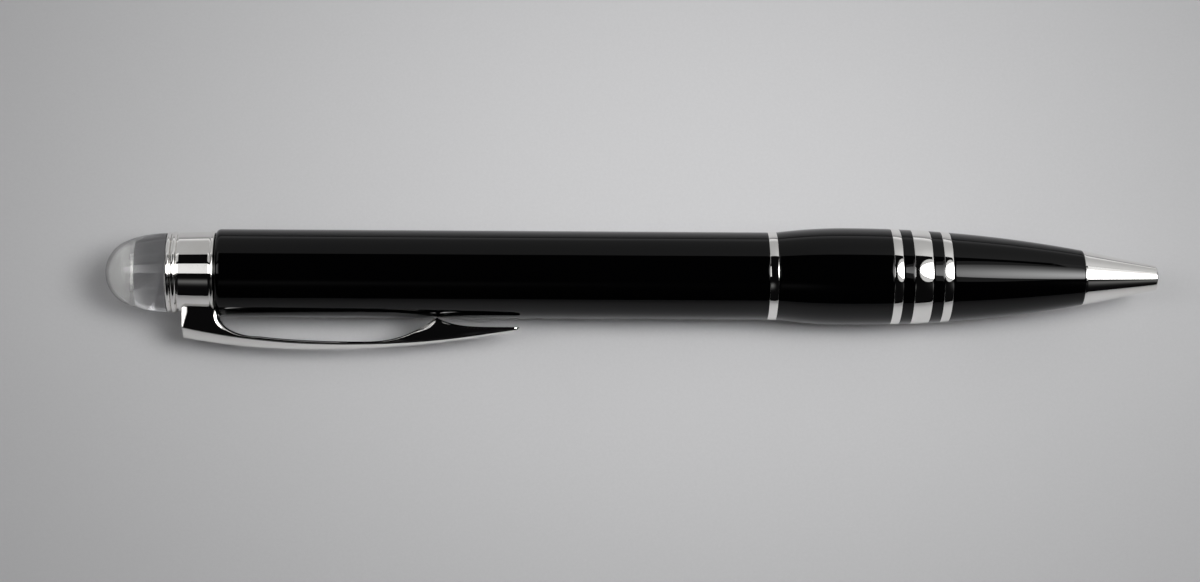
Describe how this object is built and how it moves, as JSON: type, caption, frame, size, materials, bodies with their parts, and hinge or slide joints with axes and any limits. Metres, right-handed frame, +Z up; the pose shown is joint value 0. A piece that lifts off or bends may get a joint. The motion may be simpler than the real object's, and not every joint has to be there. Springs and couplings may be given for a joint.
{
  "type": "twist ballpoint pen",
  "caption": "Twist ballpoint pen with a black resin barrel, bright trim rings, a sculpted pocket clip, a clear dome and a metal nose cone that the refill slides out of.",
  "frame": {"origin": "on the table under the middle of the pen's length, halfway between the back of the grip and the crest of the clip", "axes": "+X along the pen towards the nose, +Z up from the table it lies on, the clip towards -Y and rolled 14 degrees down"},
  "size_m": [0.139, 0.0163, 0.0128],
  "materials": {
    "black_resin": "polished black resin",
    "chrome_trim": "polished bright plating",
    "clear_resin": "polished clear resin",
    "white_disc": "plain white, polished",
    "brass_inside": "turned brass",
    "steel_inside": "turned steel",
    "rubber_seal": "matt rubber",
    "refill_plastic": "moulded, slightly matt"
  },
  "bodies": {
    "barrel": {"joint_ring": "chrome_trim", "barrel_shell": "black_resin", "barrel_liner": "brass_inside", "turning_seal": "rubber_seal", "cam_sleeve": "brass_inside", "thrust_washer": "steel_inside", "top_bush": "steel_inside", "clip_band": "chrome_trim", "dome_ring": "chrome_trim", "dome_base": "clear_resin", "dome_disc": "white_disc", "dome_cap": "clear_resin"},
    "clip": {"clip": "chrome_trim"},
    "grip": {"nose_cone": "chrome_trim", "grip_front_shell": "black_resin", "ring_front": "chrome_trim", "spacer_front": "black_resin", "ring_wide": "chrome_trim", "spacer_rear": "black_resin", "ring_rear": "chrome_trim", "grip_rear_shell": "black_resin", "grip_liner": "brass_inside", "guide_tube": "steel_inside", "retaining_ring": "steel_inside", "return_spring": "steel_inside"},
    "refill": {"refill_tube": "refill_plastic", "refill_point": "brass_inside", "refill_end_plug": "rubber_seal", "plunger": "steel_inside", "cross_pin": "steel_inside", "writing_ball": "steel_inside"}
  },
  "joints": [
    {"name": "grip_twist", "type": "hinge", "parent": "barrel", "child": "grip", "pos_m": [0.01859, 0.00168, 0.00641], "axis": [1, 0, 0], "range_deg": [0, 180]},
    {"name": "refill_slide", "type": "slide", "parent": "grip", "child": "refill", "axis": [1, 0, 0], "range_m": [0, 0.005], "deforming": ["return_spring"]},
    {"name": "clip_lift", "type": "hinge", "parent": "barrel", "child": "clip", "pos_m": [-0.05934, -0.00374, 0.00506], "axis": [0, 0.2419, -0.9703], "range_deg": [0, 3.5], "stiffness_Nm_per_rad": 1.5}
  ],
  "couplings": [
    {"joint": "refill_slide", "follows": "grip_twist", "m_per_rad": 0.0015915}
  ]
}
